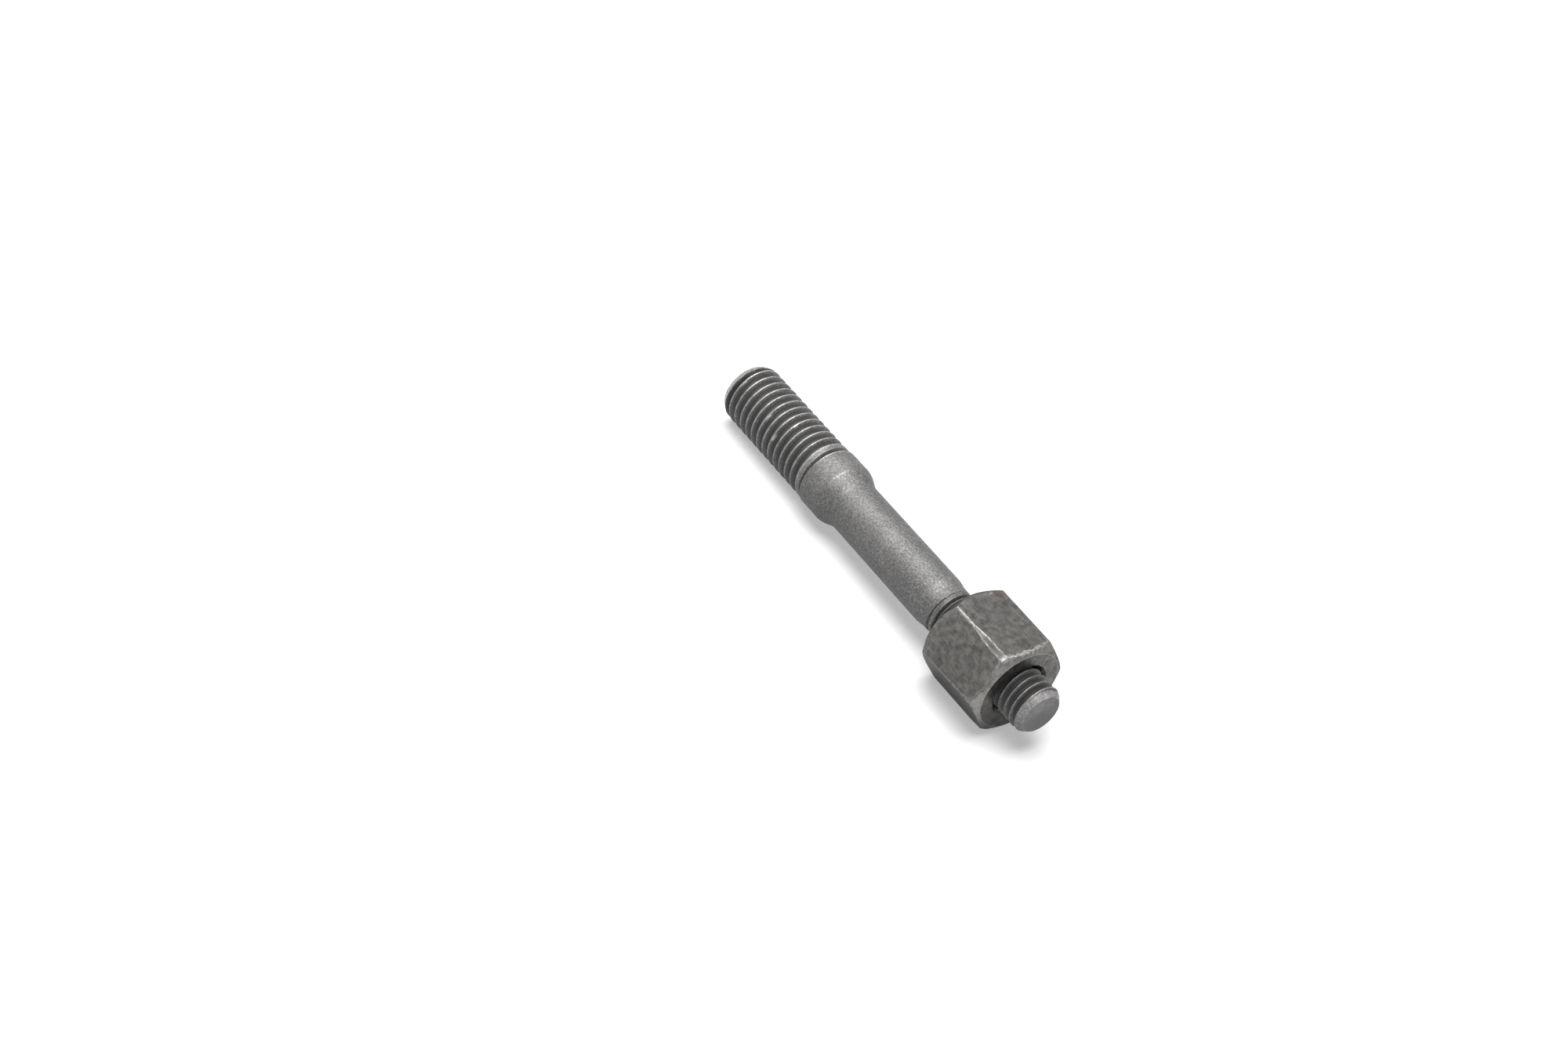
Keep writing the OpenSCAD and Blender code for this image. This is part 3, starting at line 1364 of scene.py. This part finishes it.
    def build(self) -> bpy.types.Object:
        """Build the nut's mesh and mark its worn edges.

        Returns:
            The nut as one object.
        """
        angles = self.columns()
        skin = Skin(angles)
        along = self._outer_rows()[:, None] * np.ones((1, len(angles)))
        outside = self.outside(along, angles[None, :])
        skin.add(along + self.inner_station, outside)
        self._add_face(skin, self.length, outside[-1], False)
        low, high = self.inner_station, self.inner_station + self.length
        stations = NUT_THREAD.stations(low, high, angles)[::-1]
        skin.add(stations, self.bore(stations - low, angles[None, :]), -NUT_THREAD.rows_per_pitch)
        self._add_face(skin, 0.0, outside[0], True)
        piece = skin.build("hex_nut", self.axis, self.SHARP_DEG)
        self._mark(piece)
        return piece

    def _outer_rows(self) -> Array:
        """Lay the rows of the outside, closer together over the chamfers."""
        zone = self.chamfer_zone
        end = np.linspace(0.0, zone, self.CHAMFER_ROWS, endpoint=False)
        middle = np.linspace(zone, self.length - zone, self.FLAT_ROWS, endpoint=False)
        return np.concatenate([end, middle, self.length - end[::-1]])

    def _add_face(self, skin: Skin, along: float, rim: Array, outwards: bool) -> None:
        """Add one flat end face between the hole and the rim.

        Args:
            skin: Skin that the face is added to.
            along: Millimetres from the inner face.
            rim: Radius of the outside at that end, one for each column.
            outwards: True where the rings run from the hole to the rim.
        """
        hole = self.bore(np.full(len(rim), along), skin.angles)
        shares = np.array(self.FACE_RINGS if outwards else self.FACE_RINGS[::-1])
        radii = hole[None, :] + shares[:, None] * (rim - hole)[None, :]
        skin.add(np.full(radii.shape, along + self.inner_station), radii)

    def _mark(self, piece: bpy.types.Object) -> None:
        """Mark each point's place beside the corners and chamfers, and how bare or rusty it is.

        Args:
            piece: The nut's object.
        """
        stations, angles, radii = self.axis.measure(points_of(piece))
        along = stations - self.inner_station
        from_end = np.minimum(along, self.length - along)
        outside = (from_end > self.FACE_DEPTH) & (radii > self.ring_radius - self.FACE_DEPTH)
        half_flat = self.corner_cut(along, angles) * math.tan(self.SECTOR)
        rim = self.cone(along) - self.hexagon(along, angles)
        set_mark(piece, Mark.EDGE, radii * np.sin(self.corner_turn(angles)) - half_flat)
        set_mark(piece, Mark.RIM, np.where(outside, rim, self.OFF_THE_OUTSIDE))
        set_mark(piece, Mark.WEAR, np.where(outside, self._edge_wear(along, angles, rim), 0.0))
        # Turned chamfer, painted palest on one side as a painted highlight.
        turned = smooth_step(-rim, *self.TURNED_FADE) * self.TURNED_AND_SIDE_LIGHT.at(angles)
        at_outer_end = along > 0.5 * self.length
        set_mark(piece, Mark.TONE, np.where(outside & at_outer_end, turned, 0.0))
        on_lip = (from_end < self.FACE_DEPTH) & (np.abs(radii - self.ring_radius) < self.LIP_WIDTH)
        lip = np.where(on_lip, self.LIP_BARE.at(angles), 0.0)
        bare = patched(self.bare_patches, along, angles, radii)
        set_mark(piece, Mark.BARE, np.where(outside, bare, lip))
        stains = np.where(outside, patched(self.stain_patches, along, angles, radii), 0.0)
        # Real stains, and painted shade towards the nut's lower side.
        set_mark(piece, Mark.STAIN, np.maximum(stains, self.PAINTED_UNDERSIDE_SHADE.at(angles)))
        rust = patched(self.rust_patches, along, angles, radii)
        set_mark(piece, Mark.RUST, np.where(outside, rust, 0.0))

    def _edge_wear(self, along: Array, angles: Array, rim: Array) -> Array:
        """Give how bare an edge is: each corner by itself, the outer chamfer most on its upper side.

        Args:
            along: Millimetres from the inner face.
            angles: Radians about the axis.
            rim: Millimetres from the hexagon out to the chamfer's cone.

        Returns:
            Shares from 0 to 1.
        """
        outer = along > 0.5 * self.length
        border = np.where(outer, self.OUTER_BORDER.at(angles), self.INNER_BORDER)
        return np.where(rim < self.BORDER_WIDTH, border, self.corner_trait(angles, "bare"))

    def dress(self, piece: bpy.types.Object) -> None:
        """Give the nut its finish and its place on the part."""
        piece.data.materials.append(OxideFinish().material())
        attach(piece, Body.NUT.value)
        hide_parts(Body.NUT.value)


def direction(azimuth_deg: float, elevation_deg: float) -> Vector:
    """Give the way from the part to a place round it.

    Args:
        azimuth_deg: Turn round the part, from its -Y side towards +X.
        elevation_deg: Height above the ground, as an angle.

    Returns:
        A vector of length 1.
    """
    azimuth, elevation = math.radians(azimuth_deg), math.radians(elevation_deg)
    level = math.cos(elevation)
    return Vector((math.sin(azimuth) * level, -math.cos(azimuth) * level, math.sin(elevation)))


def aim(thing: bpy.types.Object, back: Vector, roll_deg: float = 0.0) -> None:
    """Turn a camera or lamp to look along the opposite of back, and link it to the scene.

    Args:
        thing: The camera or lamp.
        back: The way from what it looks at to it.
        roll_deg: Turn about its own line of sight.
    """
    thing.rotation_mode = "QUATERNION"
    roll = Quaternion((0.0, 0.0, 1.0), math.radians(roll_deg))
    thing.rotation_quaternion = (-back).to_track_quat("-Z", "Y") @ roll
    bpy.context.scene.collection.objects.link(thing)


@dataclass(frozen=True)
class ViewPoint:
    """Where the picture is taken from.

    Attributes:
        target_mm: Point of the ground in the middle of the picture.
        distance_mm: Distance from that point to the camera.
        azimuth_deg: Turn of the camera round the part, from its -Y side towards +X.
        elevation_deg: Height of the camera above the ground, as an angle.
        roll_deg: Turn of the camera about its own line of sight.
        lens_mm: Focal length on a sensor 36 mm wide.
    """

    target_mm: tuple[float, float, float] = (-14.022, -7.092, 0.0)
    distance_mm: float = 368.35
    azimuth_deg: float = 46.381
    elevation_deg: float = 42.654
    roll_deg: float = 15.168
    lens_mm: float = 58.03

    SENSOR_MM = 36.0
    CLIP_M = (0.01, 50.0)

    def build(self) -> bpy.types.Object:
        """Set up the camera and make it the scene's own.

        Returns:
            The camera.
        """
        data = bpy.data.cameras.new("picture_camera")
        data.sensor_width = self.SENSOR_MM
        data.lens = self.lens_mm
        data.clip_start, data.clip_end = self.CLIP_M
        camera = bpy.data.objects.new("picture_camera", data)
        back = direction(self.azimuth_deg, self.elevation_deg)
        camera.location = MM * (Vector(self.target_mm) + self.distance_mm * back)
        aim(camera, back, self.roll_deg)
        bpy.context.scene.camera = camera
        return camera


@dataclass(frozen=True)
class Softbox:
    """A round soft lamp that looks at the part.

    Attributes:
        name: Name of the lamp.
        azimuth_deg: Where it stands round the part, as for the camera.
        elevation_deg: How high it stands.
        distance_m: Distance from the part.
        diameter_m: Width of its face.
        power_w: Its power.
    """

    name: str
    azimuth_deg: float
    elevation_deg: float
    distance_m: float
    diameter_m: float
    power_w: float

    def build(self) -> bpy.types.Object:
        """Hang the lamp.

        Returns:
            The lamp.
        """
        data = bpy.data.lights.new(self.name, "AREA")
        data.shape = "DISK"
        data.size = self.diameter_m
        data.energy = self.power_w
        lamp = bpy.data.objects.new(self.name, data)
        back = direction(self.azimuth_deg, self.elevation_deg)
        lamp.location = self.distance_m * back
        aim(lamp, back)
        return lamp


@dataclass(frozen=True)
class Studio:
    """A white table under one soft lamp, in a pale room."""

    floor_m: float = 6.0
    paper: Colour = (0.76, 0.76, 0.76)
    paper_glow: float = 0.38
    room_fill: float = 0.14
    lamp: Softbox = Softbox(
        "overhead_softbox",
        azimuth_deg=295.0,
        elevation_deg=83.0,
        distance_m=4.0,
        diameter_m=3.4,
        power_w=205.0,
    )

    def build(self) -> None:
        """Lay the floor, hang the lamp and paint the room."""
        self._lay_floor()
        self.lamp.build()
        self._paint_room()
        bpy.context.scene.view_settings.view_transform = "Standard"

    def _seen(self, pen: NodePen) -> Socket:
        """Tell the rays that show the background from those that only light the part.

        Args:
            pen: Pen of the floor's material or of the world.

        Returns:
            1 for a ray that shows the background and 0 for one that lights the part.
        """
        path = pen.add("ShaderNodeLightPath")
        shown = pen.math("MAXIMUM", path.outputs["Is Camera Ray"], path.outputs["Is Glossy Ray"])
        return pen.math("MAXIMUM", shown, path.outputs["Is Transmission Ray"])

    def _lay_floor(self) -> None:
        """Lay the white paper that the part lies on."""
        half = 0.5 * self.floor_m
        mesh = bpy.data.meshes.new("table_paper")
        corners = [(-half, -half, 0.0), (half, -half, 0.0), (half, half, 0.0), (-half, half, 0.0)]
        mesh.from_pydata(corners, [], [(0, 1, 2, 3)])
        floor = bpy.data.objects.new("table_paper", mesh)
        bpy.context.scene.collection.objects.link(floor)
        pen = NodePen(bpy.data.materials.new("table_paper"))
        glow = pen.math("MULTIPLY", self._seen(pen), self.paper_glow)
        matte = pen.add("ShaderNodeBsdfDiffuse", {"Color": (*self.paper, 1.0)})
        light = pen.add("ShaderNodeEmission", {"Strength": glow})
        both = pen.add("ShaderNodeAddShader", {"Shader": matte.outputs[0], "Shader_001": light.outputs[0]})
        mesh.materials.append(pen.finish(both.outputs[0]))

    def _paint_room(self) -> None:
        """Make the room white where it shows and softer where it only lights the part."""
        pen = NodePen(bpy.data.worlds.new("pale_room"))
        strength = pen.between(self._seen(pen), self.room_fill, 1.0)
        room = pen.add("ShaderNodeBackground", {"Strength": strength})
        bpy.context.scene.world = pen.finish(room.outputs[0])


def main() -> None:
    """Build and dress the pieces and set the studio."""
    logging.basicConfig(level=logging.INFO, format="%(name)s: %(message)s")
    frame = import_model()
    axis = StudAxis.from_frame(frame)
    ViewPoint().build()
    Studio().build()
    for part in (Stud.from_frame(axis, frame), Nut.from_frame(axis, frame)):
        piece = part.build()
        part.dress(piece)
        LOG.info("%s: %d points, %d faces", piece.name, len(piece.data.vertices), len(piece.data.polygons))


if __name__ == "__main__":
    main()
